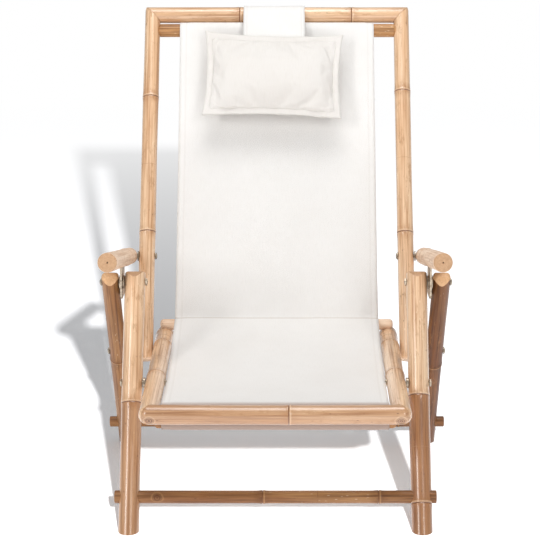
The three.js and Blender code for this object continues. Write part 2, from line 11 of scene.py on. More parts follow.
import bmesh
import bpy
from mathutils import Matrix, Vector, noise
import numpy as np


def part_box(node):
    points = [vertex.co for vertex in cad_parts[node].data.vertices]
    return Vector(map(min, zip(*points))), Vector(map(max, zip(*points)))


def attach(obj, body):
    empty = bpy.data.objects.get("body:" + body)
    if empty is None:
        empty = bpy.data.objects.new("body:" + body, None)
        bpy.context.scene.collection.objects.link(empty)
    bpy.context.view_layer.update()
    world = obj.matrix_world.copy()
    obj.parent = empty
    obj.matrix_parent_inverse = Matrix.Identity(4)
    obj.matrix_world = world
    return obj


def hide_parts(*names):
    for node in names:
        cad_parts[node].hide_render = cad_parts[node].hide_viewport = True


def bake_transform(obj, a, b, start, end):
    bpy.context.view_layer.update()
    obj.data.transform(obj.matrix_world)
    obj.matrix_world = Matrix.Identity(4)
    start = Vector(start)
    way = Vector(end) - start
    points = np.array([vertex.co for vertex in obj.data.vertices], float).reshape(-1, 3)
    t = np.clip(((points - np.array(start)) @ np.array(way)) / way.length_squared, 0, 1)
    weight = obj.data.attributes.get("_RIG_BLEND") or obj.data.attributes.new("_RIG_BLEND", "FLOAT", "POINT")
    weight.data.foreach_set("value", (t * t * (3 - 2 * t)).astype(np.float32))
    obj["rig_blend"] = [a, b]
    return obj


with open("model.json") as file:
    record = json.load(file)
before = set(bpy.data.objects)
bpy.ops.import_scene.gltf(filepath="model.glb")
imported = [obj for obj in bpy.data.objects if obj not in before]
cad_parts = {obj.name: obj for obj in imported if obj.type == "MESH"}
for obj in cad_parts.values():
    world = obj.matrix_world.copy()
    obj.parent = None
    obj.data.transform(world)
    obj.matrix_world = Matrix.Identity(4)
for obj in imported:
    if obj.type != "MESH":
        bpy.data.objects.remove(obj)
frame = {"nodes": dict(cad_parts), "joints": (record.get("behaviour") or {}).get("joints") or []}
scene = bpy.context.scene
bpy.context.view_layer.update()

# %% [markdown]
# Everything is placed from the four pivots of the folding linkage, because the legs, the seat
# rails, the back and the armrests all turn on them. A pole's distance from the middle of the
# chair is read from its CAD node, so nothing has to be fitted by eye.

# %% Pivots and directions of the side view
pivots = {joint["name"]: Vector(joint["pos_m"]) for joint in frame["joints"]}
seat_bolt, leg_bolt, back_bolt, armrest_bolt = [
    pivots[name] * Vector((0, 1, 1))
    for name in ("fold", "rear_leg_fold", "back_fold", "left_armrest_fold")]
rail_rise = Vector((0, 0.255, 0.01425))
armrest_fall = Vector((0, 0.366, -0.0725))
stile_reach, rail_reach_front, rail_reach_back = 0.629, 0.142, 0.255
leg_up = (leg_bolt - seat_bolt).normalized()
rail_back = rail_rise.normalized()
armrest_back = armrest_fall.normalized()
rear_leg_down = (back_bolt - leg_bolt).normalized()
leg_front = Vector((0, -leg_up.z, leg_up.y))
rail_up = Vector((0, -rail_back.z, rail_back.y))
stile_top = back_bolt + leg_up * stile_reach
rail_front = seat_bolt - rail_back * rail_reach_front
across = Vector((1, 0, 0))
sides = (("left", -1), ("right", 1))


def middle_x(node):
    """How far from the chair's middle plane a node's own middle lies."""
    low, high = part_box(node)
    return (low.x + high.x) / 2


def node_ends(node):
    """The two ends of a node that lies across the chair, on its own centre line."""
    low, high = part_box(node)
    centre = (low + high) / 2
    return Vector((low.x, centre.y, centre.z)), Vector((high.x, centre.y, centre.z))


for name in ("front_leg", "rear_leg", "back_stile", "seat_rail", "armrest"):
    print(name, round(middle_x(f"{name}_right"), 4), "m from the middle")

# %% [markdown]
# Colours are picked as they look on a screen, from 0 to 255. Shader sockets want linear light,
# so one helper turns the first into the second. The other helpers keep the node graphs short:
# each adds a node or two and links whatever is not a plain number.


# %% Helpers for colours and shader nodes
def tint(red, green, blue):
    """A screen colour as linear light, with full alpha."""
    def linear(value):
        share = value / 255
        return share / 12.92 if share <= 0.04045 else ((share + 0.055) / 1.055) ** 2.4
    return (linear(red), linear(green), linear(blue), 1)


class Graph:
    """One material or world, and short ways to add nodes to it."""

    def __init__(self, name, colour=None, store=bpy.data.materials):
        self.owner, self.colour = store.new(name), colour
        self.owner.use_nodes = True
        self.nodes, self.links = self.owner.node_tree.nodes, self.owner.node_tree.links
        self.shader = self.nodes.get("Principled BSDF")

    def add(self, kind, inputs=(), **settings):
        node = self.nodes.new(kind)
        for key, value in settings.items():
            setattr(node, key, value)
        for socket, value in dict(inputs).items():
            self.feed(node.inputs[socket], value)
        return node

    def feed(self, socket, value):
        if isinstance(value, bpy.types.NodeSocket):
            self.links.new(value, socket)
        else:
            socket.default_value = value

    def maths(self, operation, *values):
        return self.add("ShaderNodeMath", dict(enumerate(values)), operation=operation).outputs[0]

    def times(self, first, second):
        return self.maths("MULTIPLY", first, second)

    def wave(self, value, length):
        """A sine of a place, one wave per length."""
        return self.maths("SINE", self.times(value, math.tau / length))

    def ramp(self, value, low, high, to_low=0.0, to_high=1.0):
        return self.add("ShaderNodeMapRange", {
            "Value": value, "From Min": low, "From Max": high,
            "To Min": to_low, "To Max": to_high}).outputs["Result"]

    def mix(self, share, first, second, blend="MIX"):
        node = self.add("ShaderNodeMix", data_type="RGBA", blend_type=blend)
        for number, value in ((0, share), (6, first), (7, second)):
            self.feed(node.inputs[number], value)
        return node.outputs[2]

    def lay(self, share, over, blend="MIX"):
        """Mix one more colour over what the surface has so far."""
        self.colour = self.mix(share, self.colour, over, blend)

    def noise(self, vector, scale, detail=2.0, roughness=0.5):
        return self.add("ShaderNodeTexNoise", {
            "Vector": vector, "Scale": scale, "Detail": detail,
            "Roughness": roughness}).outputs["Fac"]

    def cells(self, vector, scale=1):
        return self.add("ShaderNodeTexVoronoi", {
            "Vector": vector, "Scale": scale}).outputs["Distance"]

    def reach(self, vector):
        return self.add("ShaderNodeVectorMath", {0: vector}, operation="LENGTH").outputs["Value"]

    def line(self, value, at, core, edge, strength=1.0):
        """How much a value is near a mark: full inside core, nothing past edge."""
        away = self.maths("ABSOLUTE", self.maths("SUBTRACT", value, at))
        return self.ramp(away, core, edge, strength, 0)

    def stretched(self, vector, scale):
        return self.add("ShaderNodeMapping", {"Vector": vector, "Scale": scale}).outputs["Vector"]

    def attribute(self, name, output="Vector"):
        return self.add("ShaderNodeAttribute", attribute_name=name).outputs[output]

    def finish(self, roughness, height=None, distance=0.001, strength=1.0, **sockets):
        self.feed(self.shader.inputs["Base Color"], self.colour)
        self.feed(self.shader.inputs["Roughness"], roughness)
        for socket, value in sockets.items():
            self.shader.inputs[socket.replace("_", " ")].default_value = value
        if height is not None:
            bump = self.add("ShaderNodeBump", {
                "Height": height, "Distance": distance, "Strength": strength})
            self.feed(self.shader.inputs["Normal"], bump.outputs["Normal"])
        print(self.owner.name, "has", len(self.nodes), "nodes")
        return self.owner


# %% [markdown]
# Bamboo skin is a smooth lacquered rind. Fine fibres run along it, each length between two
# rings has its own tone, and every ring is a thin dark scar with a pale, raised lip. The pattern
# has to follow each pole, whichever way it points, so it reads an attribute named culm that
# holds the place along and around the pole, and one named ring with the distance to the
# nearest ring. A coat gives the wet shine of the varnish.


# %% Bamboo rind
lip_gap = 0.0024
knot_ring, knot_edge = 0.0032, 0.0085


def rind(name, light, middle, dark, coat=1.0, gloss=0.3, mirror=0.5):
    """A lacquered bamboo skin between a light and a dark tone."""
    g = Graph(name, middle)
    culm = g.attribute("culm")
    ring, tone, knot = [g.attribute(layer, "Fac") for layer in ("ring", "tone", "knot")]
    fibres = g.noise(g.stretched(culm, (900, 900, 12)), 1, 3, 0.6)
    streaks = g.noise(g.stretched(culm, (260, 260, 5)), 1, 4, 0.65)
    clouds = g.noise(g.stretched(culm, (55, 55, 7)), 1, 3, 0.6)
    stains = g.noise(g.stretched(culm, (110, 110, 34)), 1, 5, 0.7)
    # The tone of each length, and streaks that stay darker than it
    g.lay(g.ramp(clouds, 0.34, 0.62), light)
    aged = g.ramp(tone, 0.35, 1.0)
    g.lay(g.ramp(tone, 0, 1, 0, 0.6), dark)
    g.lay(aged, (0.72, 0.58, 0.46, 1), "MULTIPLY")
    deep = g.mix(aged, dark, (0.42, 0.34, 0.28, 1), "MULTIPLY")
    g.lay(g.ramp(streaks, 0.47, 0.66, 0, 0.75), deep)
    g.lay(g.ramp(fibres, 0.48, 0.72, 0, 0.5), deep)
    g.lay(g.ramp(stains, 0.56, 0.7, 0, 0.6), tint(160, 112, 66))
    # The rings: a smoky shade beside them, a pale lip and a dark scar
    away = g.maths("ABSOLUTE", ring)
    near = g.times(g.ramp(away, 0.001, 0.016, 1, 0), g.ramp(stains, 0.38, 0.6, 0.1, 0.7))
    g.lay(near, dark)
    g.lay(g.line(ring, lip_gap, 0.0006, 0.0018, 0.4), light)
    ragged = g.maths("ADD", away, g.times(stains, 0.0008))
    g.lay(g.ramp(ragged, 0.0009, 0.0017, 0.9, 0), tint(120, 76, 42))
    # Chipped varnish, and dark specks
    dashes = g.cells(g.stretched(culm, (240, 240, 70)))
    pale_dash = g.times(g.ramp(dashes, 0.1, 0.2, 1, 0), g.ramp(clouds, 0.5, 0.6))
    faint = g.ramp(tone, 0.1, 0.8, 0.6, 0.12)
    g.lay(g.times(pale_dash, faint), tint(246, 224, 190))
    spots = g.cells(g.stretched(culm, (150, 150, 60)))
    speck = g.times(g.ramp(spots, 0.07, 0.15, 1, 0), g.ramp(stains, 0.5, 0.56))
    g.lay(g.times(speck, 0.75), tint(104, 64, 36))
    # Knots: uneven circles with a pale rim
    uneven = g.maths("ADD", knot, g.times(g.maths("SUBTRACT", clouds, 0.5), 0.012))
    circles = g.ramp(g.wave(uneven, knot_ring), -0.2, 0.7)
    eye = g.times(g.ramp(uneven, 0.0055, 0.009, 1, 0), g.maths("ADD", circles, 0.25))
    g.lay(g.times(eye, 0.7), tint(92, 54, 30))
    g.lay(g.line(uneven, knot_edge, 0.0003, 0.0022, 0.25), light)
    shine = g.ramp(streaks, 0.35, 0.7, gloss, gloss + 0.14)
    height = g.maths("SUBTRACT", g.times(g.maths("ADD", fibres, streaks), 0.2), speck)
    return g.finish(shine, height, 0.0005, 0.45, Coat_Weight=coat, Coat_Roughness=0.2,
                    Specular_IOR_Level=mirror)


pale_rind = rind("pale rind", tint(241, 207, 170), tint(226, 184, 143), tint(168, 116, 72),
                 coat=0.9)
brown_rind = rind("brown rind", tint(204, 154, 102), tint(174, 120, 72), tint(94, 55, 26),
                  coat=0.15, gloss=0.38, mirror=0.3)
sanded_rind = rind("sanded rind", tint(244, 218, 192), tint(233, 201, 172), tint(200, 158, 124),
                   coat=0.1, gloss=0.5)

# %% [markdown]
# Where a pole is sawn off, its end shows the pale wood: small dark dots of the bundles that
# carry sap, slightly darker towards the rind, and in the armrests a pith hole. The same
# attribute gives the distance from the pole's middle.


# %% Sawn bamboo
def sawn(name, wood, dots):
    """End grain with vascular dots."""
    g = Graph(name, wood)
    culm = g.attribute("culm")
    flat = g.stretched(culm, (1, 1, 0.06))
    grain = g.cells(flat, 900)
    cloud = g.noise(flat, 260, 3)
    g.lay(g.ramp(grain, 0.1, 0.4, 0.45, 0), dots)
    g.lay(g.ramp(cloud, 0.35, 0.75, 0, 0.5), dots)
    from_middle = g.reach(g.stretched(culm, (1, 1, 0)))
    g.lay(g.ramp(from_middle, 0.0125, 0.0155, 0, 0.35), dots)
    return g.finish(0.55, grain, 0.0004, 0.3, Coat_Weight=0.12, Coat_Roughness=0.3)


pale_end = sawn("pale sawn end", tint(200, 160, 122), tint(160, 116, 78))
brown_end = sawn("brown sawn end", tint(224, 180, 134), tint(172, 124, 82))

# %% [markdown]
# Each bamboo pole is one outline spun round an axis. The outline is a chain of vertices: it
# tapers, wanders a little, and at each ring it dips into a scar and rises into a lip. After the
# spin the pole gets a slight bow and an uneven roundness, and only then is it laid in place.


# %% Spin a bamboo pole
ring_steps = (-14, -9, -6, -4, -2.8, -1.9, -1.2, -0.6, 0, 0.6, 1.2, 1.9, 2.8, 4, 6, 9, 14)
ring_room = 0.014
outline_step, fine_step = 0.012, 0.0013


def hill(distance, width):
    """A soft bump, 1 high at its middle."""
    return math.exp(-(distance / width) ** 2)


def ring_height(gap):
    """How far the rind stands out at this distance above a ring, in metres."""
    mm = gap * 1000
    lip = 0.28 * hill(mm - 2.0, 1.3) + 0.22 * hill(mm + 1.9, 1.2)
    return (0.5 * hill(mm, 6.5) + lip - 0.65 * hill(mm, 0.8)) / 1000


def pole_outline(length, foot, tip, rings, caps, seed, fine):
    """Points (radius, height) from one end's middle to the other's."""
    count = round(length / outline_step)
    heights = {i * length / count for i in range(count + 1)}
    heights = {h for h in heights if all(abs(h - r) > ring_room for r in rings)}
    heights |= {r + step / 1000 for r in rings for step in ring_steps}
    heights |= {f + step * fine_step for f in fine for step in range(-8, 9)}
    low_cap, high_cap = caps
    top = length - high_cap
    heights = sorted(h for h in heights if low_cap < h < top)

    def radius(h):
        wander = 0.00035 * noise.noise(Vector((h * 9, seed, 0)))
        return foot + (tip - foot) * h / length + wander + sum(ring_height(h - r) for r in rings)

    def cap_curve(cap):
        """Steps round a capped end: how far inside the full radius, how far from the end."""
        turns = [math.radians(a) for a in (0, 22, 45, 68, 90)]
        return [(cap * (1 - math.sin(a)), cap * (1 - math.cos(a))) for a in turns]

    low_radius, high_radius = radius(low_cap), radius(top)
    outline = [(0, 0)]
    outline += [(low_radius - inside, up) for inside, up in cap_curve(low_cap)]
    outline += [(radius(h), h) for h in heights]
    outline += [(high_radius - inside, length - down)
                for down, inside in cap_curve(high_cap)]
    return outline + [(0, length)]


def smooth(bm):
    for face in bm.faces:
        face.smooth = True
    return bm


def spun_pole(start, end, foot, tip, rings, caps=(0.0015, 0.0015), seed=1.0, segments=36,
              bow=0.0006, tones=(0.1,), fine=()):
    """A bamboo pole from start to end as a bmesh, with the layers that its material reads."""
    length = (end - start).length
    outline = pole_outline(length, foot, tip, rings, caps, seed, fine)
    bm = bmesh.new()
    chain = [bm.verts.new((r, 0, h)) for r, h in outline]
    edges = [bm.edges.new(pair) for pair in zip(chain, chain[1:])]
    bmesh.ops.spin(bm, geom=chain + edges, cent=(0, 0, 0), axis=(0, 0, 1), angle=math.tau,
                   steps=segments, use_merge=True)
    bmesh.ops.remove_doubles(bm, verts=bm.verts, dist=1e-6)
    bmesh.ops.recalc_face_normals(bm, faces=bm.faces)
    culm = bm.verts.layers.float_vector.new("culm")
    ring = bm.verts.layers.float.new("ring")
    tone = bm.verts.layers.float.new("tone")
    knot = bm.verts.layers.float.new("knot")
    for v in bm.verts:
        v[culm] = v.co + Vector((0, 0, seed * 3))
        v[ring] = min((v.co.z - r for r in rings), key=abs)
        v[knot] = 1.0
        room = sum(v.co.z > r for r in rings)
        shade = tones[min(room, len(tones) - 1)]
        v[tone] = max(0.0, shade + 0.2 * noise.noise(Vector((room * 3.7, seed * 5.1, 2.2))))
    for v in bm.verts:
        spot = Vector((v.co.x * 40, v.co.y * 40, seed + v.co.z * 4))
        uneven = 1 + 0.012 * noise.noise(spot)
        sway = bow * math.sin(math.pi * v.co.z / length)
        v.co.x, v.co.y = v.co.x * uneven + sway, v.co.y * uneven
    turn = (end - start).to_track_quat("Z", "Y").to_matrix().to_4x4()
    spin = Matrix.Rotation(seed * 2.4, 4, "Z")
    bmesh.ops.transform(bm, matrix=Matrix.Translation(start) @ turn @ spin, verts=bm.verts)
    return smooth(bm)


# %% [markdown]
# Real poles are sawn after they have grown. A cut is one plane through the mesh: what lies
# outside goes, and the hole is filled with a face that takes the sawn material. A leg's top is
# round about its bolt, so it takes a fan of such cuts.


# %% Saw a pole
def saw(bm, place, outward):
    """Cut the pole at a plane and close it with a sawn face."""
    bmesh.ops.bisect_plane(bm, geom=bm.verts[:] + bm.edges[:] + bm.faces[:], dist=1e-7,
                           plane_co=place, plane_no=outward, clear_outer=True)
    rim = [e for e in bm.edges if e.is_boundary]
    if rim:
        for face in bmesh.ops.edgeloop_fill(bm, edges=rim)["faces"]:
            face.material_index = 1
            face.smooth = True
            face.normal_update()
            if face.normal.dot(outward) < 0:
                face.normal_flip()


def round_top(bm, place, upward, radius, half, ease=0.006, cuts=11):
    """Saw a pole's end round about a bolt that runs across the chair, and ease its shoulders."""
    for i in range(cuts):
        outward = Matrix.Rotation(math.radians(-84 + 168 * i / (cuts - 1)), 3, "X") @ upward
        saw(bm, place + outward * radius, outward)
    for turn in (-72, -54, -36, -18, 0, 18):
        level = Matrix.Rotation(math.radians(turn), 3, "X") @ upward
        for lean in (18, 36, 54, 72):
            cosine, sine = math.cos(math.radians(lean)), math.sin(math.radians(lean))
            reach = (radius - ease) * cosine + (half - ease) * sine + ease
            for side in (-1, 1):
                outward = level * cosine + across * side * sine
                saw(bm, place + outward * reach, outward)


def add_knot(bm, place, outward, reach=0.008, height=0.0012):
    """Swell the rind where a branch was cut off, and note the distance to it."""
    knot = bm.verts.layers.float["knot"]
    for v in bm.verts:
        v[knot] = min(v[knot], (v.co - place).length)
        v.co += outward * height * hill((v.co - place).length, reach)


def sharpen(bm, crease=32):
    """Keep the line between rind and sawn wood crisp, and every fold above so many degrees."""
    for edge in bm.edges:
        if len(edge.link_faces) == 2:
            kinds = {face.material_index for face in edge.link_faces}
            flat = edge.calc_face_angle(0) < math.radians(crease)
            edge.smooth = len(kinds) == 1 and flat
    return bm


# %% [markdown]
# A finished piece is an object at the origin whose place is in its mesh. It takes its
# materials, moves with its CAD body and stands for the CAD node that it replaces.


# %% Turn a bmesh into a piece
def linked(name, data):
    """A new object in the scene."""
    obj = bpy.data.objects.new(name, data)
    scene.collection.objects.link(obj)
    return obj


def solid(name, bm, materials=()):
    """A bmesh as an object in the scene."""
    mesh = bpy.data.meshes.new(name)
    bm.to_mesh(mesh)
    bm.free()
    for material in materials:
        mesh.materials.append(material)
    print(name, "has", len(mesh.vertices), "vertices")
    return linked(name, mesh)


def piece(name, bm, body, slot, materials, *nodes):
    """Make the object, let it ride with its body and hide the nodes it stands for."""
    obj = solid(name, bm, materials)
    if body:
        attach(obj, body)
    if nodes:
        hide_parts(*nodes)
    return obj


def cane(bm, node, body, finish, kind="pale"):
    """A finished pole in the place of its CAD node."""
    piece(f"{node}_cane", sharpen(bm), body, f"{kind}_bamboo", finish, node)


pale, brown, sanded = (pale_rind, pale_end), (brown_rind, brown_end), (sanded_rind, pale_end)

# %% [markdown]
# The four legs are sawn level with the floor and round at the top. The front legs are the
# thickest poles, and the rear legs are a browner cane.

# %% Legs
front_foot = leg_bolt - leg_up * (leg_bolt.z / leg_up.z)
rear_foot = leg_bolt + rear_leg_down * (leg_bolt.z / -rear_leg_down.z)
leg_rings = {"front_leg_left": (0.205,), "front_leg_right": (0.0426, 0.2174),
             "rear_leg_left": (0.191,), "rear_leg_right": (0.204,)}
# Each length's tone; on the front legs the lengths nearest the floor are darker as painted shade, for the
# light that falls off towards the floor.
leg_tones_and_shade = {"front_leg_left": (0.66, 0.1), "front_leg_right": (1.0, 0.98, 0.12),
             "rear_leg_left": (0.5, 0.6), "rear_leg_right": (0.95, 1.0)}
legs = (("front_leg", front_foot, leg_bolt, leg_up, (0.0164, 0.017), (0.0173, 0.0172), 1.3),
        ("rear_leg", leg_bolt, rear_foot, rear_leg_down, (0.0144, 0.0146), (0.0152, 0.0147), 4.1))
spare = 0.03
down = Vector((0, 0, -1))
for title, side in sides:
    for name, start, end, along, radii, top, seed in legs:
        node, front = f"{name}_{title}", name == "front_leg"
        x = across * middle_x(node)
        bm = spun_pole(x + start - along * spare, x + end + along * spare, *radii,
                       [r + spare for r in leg_rings[node]], seed=seed + side,
                       tones=leg_tones_and_shade[node])
        saw(bm, Vector(), down)
        round_top(bm, x + leg_bolt, along if front else -along, *top)
        cane(bm, node, f"{name}_frame", pale if front else brown, "pale" if front else "brown")
print("legs from", [round(c, 3) for c in front_foot], "to", [round(c, 3) for c in leg_bolt])

# %% [markdown]
# The crossbars are thin canes pushed through the legs, with short stubs outside. The front one
# has a branch knot near its left end, so both have finer steps in their outline there.

# %% Crossbars
knot_place = 0.068
for name, body, radius, shares in (
        ("front_crossbar", "front_leg_frame", 0.0102, (0.46, 0.82)),
        ("rear_crossbar", "rear_leg_frame", 0.0095, (0.2, 0.55, 0.86))):
    left, right = node_ends(name)
    bm = spun_pole(left, right, radius, radius, [(right.x - left.x) * share for share in shares],
                   seed=radius * 700, segments=40, bow=0.0002, tones=(0.62, 0.5, 0.66),
                   fine=(knot_place,))
    for face in bm.faces:
        if abs(face.normal.x) > 0.85:
            face.material_index = 1
    if name == "front_crossbar":
        front = Vector((left.x + knot_place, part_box(name)[0].y, left.z + 0.003))
        add_knot(bm, front, Vector((0, -1, 0)))
    cane(bm, name, body, brown, "brown")

# %% [markdown]
# The back and the seat are frames of poles with mitred corners. Both poles of a corner run
# past it and are sawn on the plane that halves it, so their ends meet in a curved line. Then
# the corner's outer edge is sanded, which is a few slanting cuts more.


# %% Mitred corners
mitre_gap, frame_radius, elbow_radius = 0.0001, 0.0143, 0.0155


def mitre(bm, corner, side, outward, keep_rail):
    """Saw on the plane between a cross rail and a side pole that leaves it against outward."""
    normal = (across * side - outward).normalized()
    if not keep_rail:
        normal.negate()
    saw(bm, corner - normal * mitre_gap, normal)


def ease_corner(bm, corner, side, outward, cut=0.004):
    """Sand the corner's outer edge a little, as on the top rail."""
    for lean in (0.62, 1.0, 1.6):
        away = (across * side * lean + outward).normalized()
        reach = frame_radius * (lean + 1) / math.sqrt(lean * lean + 1)
        saw(bm, corner + away * (reach - cut), away)


def round_elbow(bm, corner, side, outward):
    """Sand the corner to a ball, as on the seat's front rail."""
    upright = outward.cross(across).normalized()
    for lift in (0, -22, 22, -44, 44, -66, 66):
        for turn in (8, 20, 32, 45, 58, 70, 82):
            cosine, sine = math.cos(math.radians(turn)), math.sin(math.radians(turn))
            level = outward * cosine + across * side * sine
            away = level * math.cos(math.radians(lift)) + upright * math.sin(math.radians(lift))
            saw(bm, corner + away * elbow_radius, away)


def skin_all(bm, away):
    """Give the sanded corner the rind's finish, and leave sawn wood on the hidden mitre only."""
    for face in bm.faces:
        if face.normal.dot(away) >= 0.2:
            face.material_index = 0
    return bm


# %% [markdown]
# The back is two stiles and a top rail. Its corners are only eased, so the mitre's curved line
# still shows from the front, and the stiles' lower ends are rounded off below their bolt.

# %% Back frame
frame_over, stile_tail = 0.0142, 0.017
stile_x = {title: middle_x(f"back_stile_{title}") for title, _ in sides}
stile_rings = {"left": (0.213, 0.4667), "right": (0.212, 0.478)}
bm = spun_pole(Vector((stile_x["left"] - frame_over, 0, 0)) + stile_top,
               Vector((stile_x["right"] + frame_over, 0, 0)) + stile_top,
               frame_radius, frame_radius, [0.1724, 0.375], seed=7.7, bow=0.0003,
               tones=(0.35, 0.2, 0.3))
for title, side in sides:
    corner = across * stile_x[title] + stile_top
    mitre(bm, corner, side, leg_up, True)
    ease_corner(bm, corner, side, leg_up)
cane(skin_all(bm, leg_up), "back_top_rail", "back_frame", pale)
for title, side in sides:
    x = across * stile_x[title]
    corner = x + stile_top
    bm = spun_pole(x + back_bolt - leg_up * stile_tail, corner + leg_up * frame_over,
                   0.0142, 0.0138, [r + stile_tail for r in stile_rings[title]],
                   caps=(0.004, 0.0015), seed=9.2 + side)
    mitre(bm, corner, side, leg_up, False)
    ease_corner(bm, corner, side, leg_up)
    cane(skin_all(bm, across * side), f"back_stile_{title}", "back_frame", pale)

# %% [markdown]
# The seat is two side rails and a front rail. Its corners are sanded to a ball that shows the
# rings of a knot, and the rails' rear ends are domed.

# %% Seat frame
rail_over, rail_radius, front_radius = 0.0155, 0.0155, 0.0153
rail_x = {title: middle_x(f"seat_rail_{title}") for title, _ in sides}
rail_rings = {"left": (0.16, 0.317, 0.372), "right": (0.168, 0.316, 0.366)}
bm = spun_pole(Vector((rail_x["left"] - rail_over, 0, 0)) + rail_front,
               Vector((rail_x["right"] + rail_over, 0, 0)) + rail_front,
               front_radius, front_radius, [0.2313], seed=12.4, bow=0.0003, tones=(0.72, 0.62),
               fine=(0.014, 0.4036))
for title, side in sides:
    corner = across * rail_x[title] + rail_front
    mitre(bm, corner, side, -rail_back, True)
    round_elbow(bm, corner, side, -rail_back)
    mark = (-rail_back * 0.94 - rail_up * 0.34) * front_radius - across * side * 0.0015
    add_knot(bm, corner + mark, -rail_back, height=0.0002)
cane(skin_all(bm, -rail_back), "seat_front_rail", "seat_frame", pale)
for title, side in sides:
    x = across * rail_x[title]
    corner = x + rail_front
    bm = spun_pole(corner - rail_back * rail_over, x + seat_bolt + rail_back * rail_reach_back,
                   rail_radius, rail_radius, [r + rail_over for r in rail_rings[title]],
                   caps=(0.0015, 0.01), seed=14.9 + side, tones=(0.0,))
    mitre(bm, corner, side, -rail_back, False)
    round_elbow(bm, corner, side, -rail_back)
    cane(skin_all(bm, across * side), f"seat_rail_{title}", "seat_frame", pale)

# %% [markdown]
# Three thin rods carry the sling: one under the top rail, one across the rear of the seat rails,
# where the sling turns from back to seat, and one under the front rail. Their ends are domed.

# %% Sling rods
rods = {"canvas_top_rod": ("back_frame", 0.0118, 0.2, brown),
        "seat_rear_rod": ("seat_frame", 0.0095, 0.14, sanded),
        "seat_front_rod": ("seat_frame", 0.008, 0.25, brown)}
for name, (body, radius, ring, finish) in rods.items():
    left, right = node_ends(name)
    bm = spun_pole(left, right, radius, radius, (ring,), caps=(0.006, 0.006), seed=radius * 900,
                   segments=24, bow=0.0)
    cane(bm, name, body, finish, "brown")

# %% [markdown]
# Each armrest is a short thick cane with a sanded front end that shows its pith hole, and a
# domed rear end beside the back. The pith hole is a small inset face pushed inwards.


# %% Armrests
def pith_hole(bm, place, outward, radius=0.0013, depth=0.004):
    """Push a small hole into the sawn end nearest to a place."""
    fan = min(bm.verts, key=lambda v: (v.co - place).length)
    bevelled = bmesh.ops.bevel(bm, geom=[fan], offset=radius, affect="VERTICES", segments=1,
                               profile=0.5, material=-1)
    for face in bmesh.ops.extrude_discrete_faces(bm, faces=bevelled["faces"])["faces"]:
        bmesh.ops.translate(bm, vec=-outward * depth, verts=face.verts)


armrest_reach, armrest_tail, armrest_ring = 0.37311, 0.014, 0.293
armrest_front = armrest_bolt - armrest_back * armrest_reach
for title, side in sides:
    x = across * middle_x(f"armrest_{title}")
    bm = spun_pole(x + armrest_front, x + armrest_bolt + armrest_back * armrest_tail,
                   0.0152, 0.0146, [armrest_ring], caps=(0.0022, 0.0085), seed=17.3 + side * 1.7)
    for face in bm.faces:
        if face.normal.dot(armrest_back) < -0.8:
            face.material_index = 1
    pith_hole(bm, x + armrest_front, -armrest_back)
    cane(bm, f"armrest_{title}", f"{title}_armrest", sanded)

# %% [markdown]
# The bolts, nuts, washers and straps keep their CAD shapes. Their steel is zinc plated and a
# little worn: mottled grey, with duller patches where fingers and rain have been.


# %% Steel fittings
def steel(name, base):
    g = Graph(name, base)
    place = g.add("ShaderNodeTexCoord").outputs["Object"]
    patches = g.noise(place, 220, 4, 0.6)
    fine = g.noise(place, 1400, 2)
    g.lay(g.ramp(patches, 0.35, 0.7), tint(128, 112, 96))
    dull = g.ramp(fine, 0.3, 0.7, 0.26, 0.46)
    return g.finish(dull, fine, 0.0002, 0.2, Metallic=1.0)


fittings = steel("zinc plate", tint(196, 182, 162))
kinds = ("bolt", "nut", "strap", "spacer", "washer")
steel_nodes = [node for name, node in frame["nodes"].items()
               if any(f"_{kind}_" in name for kind in kinds)]
for node in steel_nodes:
    node.data.materials.clear()
    node.data.materials.append(fittings)
print("steel fittings", len(steel_nodes))

# %% [markdown]
# The canvas is a heavy plain weave, off-white. Its pattern reads the cloth's own UV map, in
# metres of cloth, so the threads and the stitches keep their size wherever the sling bends.
# The hem's row of stitches is a dashed line near each edge; their dips carry painted shade.


# %% Canvas
stitch_length = 0.004


